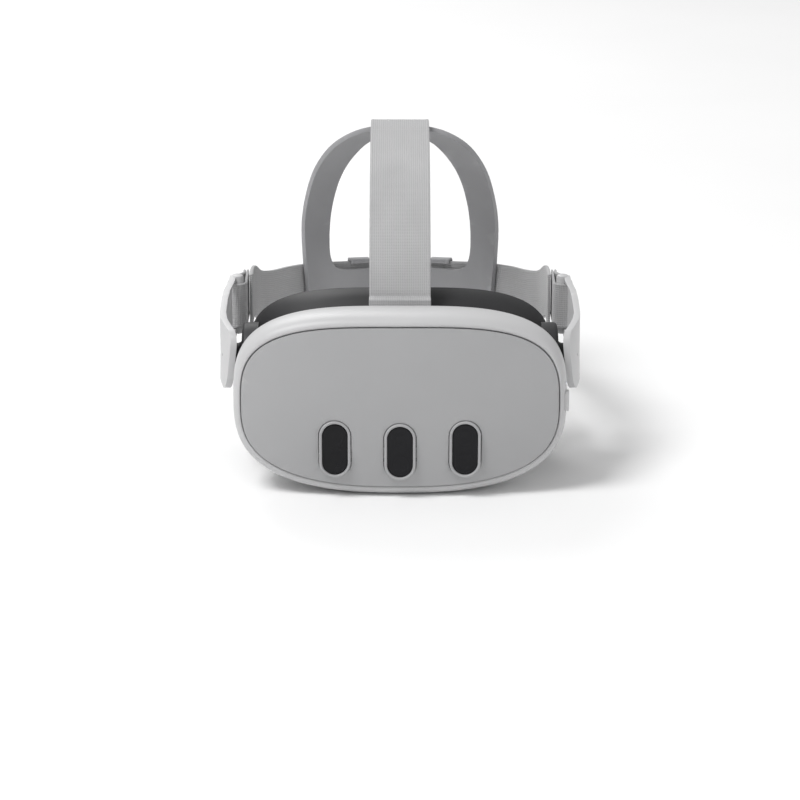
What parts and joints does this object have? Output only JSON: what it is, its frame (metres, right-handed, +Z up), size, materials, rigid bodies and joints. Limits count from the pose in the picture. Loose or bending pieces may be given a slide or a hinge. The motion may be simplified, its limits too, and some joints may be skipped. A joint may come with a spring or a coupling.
{
  "type": "vr headset",
  "caption": "Stand-alone VR headset: rounded visor with pill-shaped camera windows, soft facial interface, pivoting side arms and an elastic head strap with a rear arch.",
  "frame": {"origin": "bottom centre of the bounding box; the visor's planed underside stands on z = 0", "axes": "+Z up, -Y out of the front plate, +X to the wearer's left"},
  "size_m": [0.184, 0.2526, 0.1572],
  "materials": {
    "shell": "fine satin light-grey moulded plastic",
    "plate": "smooth satin mid-grey front plate",
    "dark_plastic": "fine matt black plastic",
    "window_glass": "gloss near-black tinted window",
    "lens_glass": "clear coated optical lens",
    "bare_metal": "plain satin metal",
    "contact_gold": "gold-plated spring contacts",
    "circuit_board": "green circuit board",
    "foam": "black fabric-faced foam",
    "webbing": "light-grey finely woven elastic webbing",
    "soft_rubber": "grey soft-touch elastomer",
    "led": "clear light pipe"
  },
  "bodies": {
    "visor": {"visor_housing": "shell", "front_plate": "plate", "camera_bezel_left": "plate", "camera_bezel_centre": "plate", "camera_bezel_right": "plate", "camera_window_left": "window_glass", "camera_window_centre": "window_glass", "camera_window_right": "window_glass", "camera_module_left": "dark_plastic", "camera_module_right": "dark_plastic", "depth_projector": "dark_plastic", "main_board": "circuit_board", "heat_sink": "bare_metal", "fan_housing": "dark_plastic", "battery": "dark_plastic", "rear_frame": "dark_plastic", "proximity_sensor": "window_glass", "frame_screw_1": "bare_metal", "frame_screw_2": "bare_metal", "frame_screw_3": "bare_metal", "frame_screw_4": "bare_metal", "lens_rail_upper": "bare_metal", "lens_rail_lower": "bare_metal", "usb_port": "bare_metal", "audio_jack": "dark_plastic", "charging_contacts": "contact_gold", "status_led": "led", "strap_anchor": "webbing", "pivot_boss_left": "dark_plastic", "pivot_boss_right": "dark_plastic"},
    "lens_left": {"lens_barrel_left": "dark_plastic", "eyepiece_left": "lens_glass", "display_left": "window_glass"},
    "lens_right": {"lens_barrel_right": "dark_plastic", "eyepiece_right": "lens_glass", "display_right": "window_glass"},
    "ipd_wheel": {"ipd_wheel": "dark_plastic"},
    "fan_rotor": {"fan_rotor": "dark_plastic"},
    "power_button": {"power_button": "shell"},
    "volume_rocker": {"volume_rocker": "shell"},
    "facial_interface": {"interface_frame": "dark_plastic", "face_cushion": "foam"},
    "relief_button_left": {"relief_button_left": "shell"},
    "relief_button_right": {"relief_button_right": "shell"},
    "head_strap": {"arm_outer_shell_left": "shell", "arm_outer_shell_right": "shell", "arm_inner_cover_left": "shell", "arm_inner_cover_right": "shell", "speaker_module_left": "dark_plastic", "speaker_module_right": "dark_plastic", "strap_loop_left": "webbing", "strap_loop_right": "webbing", "top_strap_front": "webbing"},
    "rear_strap": {"main_strap": "webbing", "rear_cradle": "soft_rubber", "top_strap_rear": "webbing"},
    "slider_left": {"slider_left": "soft_rubber"},
    "slider_right": {"slider_right": "soft_rubber"}
  },
  "joints": [
    {"name": "strap_pitch", "type": "hinge", "parent": "visor", "child": "head_strap", "pos_m": [0, -0.08068, 0.06195], "axis": [1, 0, 0], "range_deg": [-12, 20], "deforming": ["top_strap_front"]},
    {"name": "strap_tighten", "type": "slide", "parent": "head_strap", "child": "rear_strap", "axis": [0, 1, 0], "range_m": [-0.012, 0.014], "deforming": ["top_strap_rear"]},
    {"name": "slider_left_slide", "type": "slide", "parent": "rear_strap", "child": "slider_left", "axis": [0.9092, -0.4093, 0.0758], "range_m": [-0.006, 0.007]},
    {"name": "slider_right_slide", "type": "slide", "parent": "rear_strap", "child": "slider_right", "axis": [-0.9092, -0.4093, 0.0758], "range_m": [-0.006, 0.007]},
    {"name": "eye_relief", "type": "slide", "parent": "visor", "child": "facial_interface", "axis": [0, 1, 0], "range_m": [0, 0.008]},
    {"name": "relief_press_left", "type": "slide", "parent": "facial_interface", "child": "relief_button_left", "axis": [1, 0, 0], "range_m": [0, 0.0015], "stiffness_N_per_m": 400},
    {"name": "relief_press_right", "type": "slide", "parent": "facial_interface", "child": "relief_button_right", "axis": [-1, 0, 0], "range_m": [0, 0.0015], "stiffness_N_per_m": 400},
    {"name": "ipd_dial", "type": "hinge", "parent": "visor", "child": "ipd_wheel", "pos_m": [0.033, -0.10318, 0.01423], "axis": [0, 1, 0], "range_deg": [-67, 67]},
    {"name": "lens_left_slide", "type": "slide", "parent": "visor", "child": "lens_left", "axis": [1, 0, 0], "range_m": [-0.0035, 0.0035]},
    {"name": "lens_right_slide", "type": "slide", "parent": "visor", "child": "lens_right", "axis": [-1, 0, 0], "range_m": [-0.0035, 0.0035]},
    {"name": "power_press", "type": "slide", "parent": "visor", "child": "power_button", "axis": [-1, 0, 0], "range_m": [0, 0.0007], "stiffness_N_per_m": 800},
    {"name": "volume_rock", "type": "hinge", "parent": "visor", "child": "volume_rocker", "pos_m": [-0.028, -0.10928, 0.00245], "axis": [0, 1, 0], "range_deg": [-2.5, 2.5], "stiffness_Nm_per_rad": 0.05},
    {"name": "fan_spin", "type": "hinge", "parent": "visor", "child": "fan_rotor", "pos_m": [0, -0.10568, 0.05495], "axis": [0, 1, 0], "continuous": true}
  ],
  "couplings": [
    {"joint": "slider_left_slide", "follows": "strap_tighten", "ratio": 0.5},
    {"joint": "slider_right_slide", "follows": "strap_tighten", "ratio": 0.5},
    {"joint": "ipd_dial", "follows": "lens_left_slide", "rad_per_m": 333.33},
    {"joint": "lens_right_slide", "follows": "lens_left_slide", "ratio": 1}
  ]
}
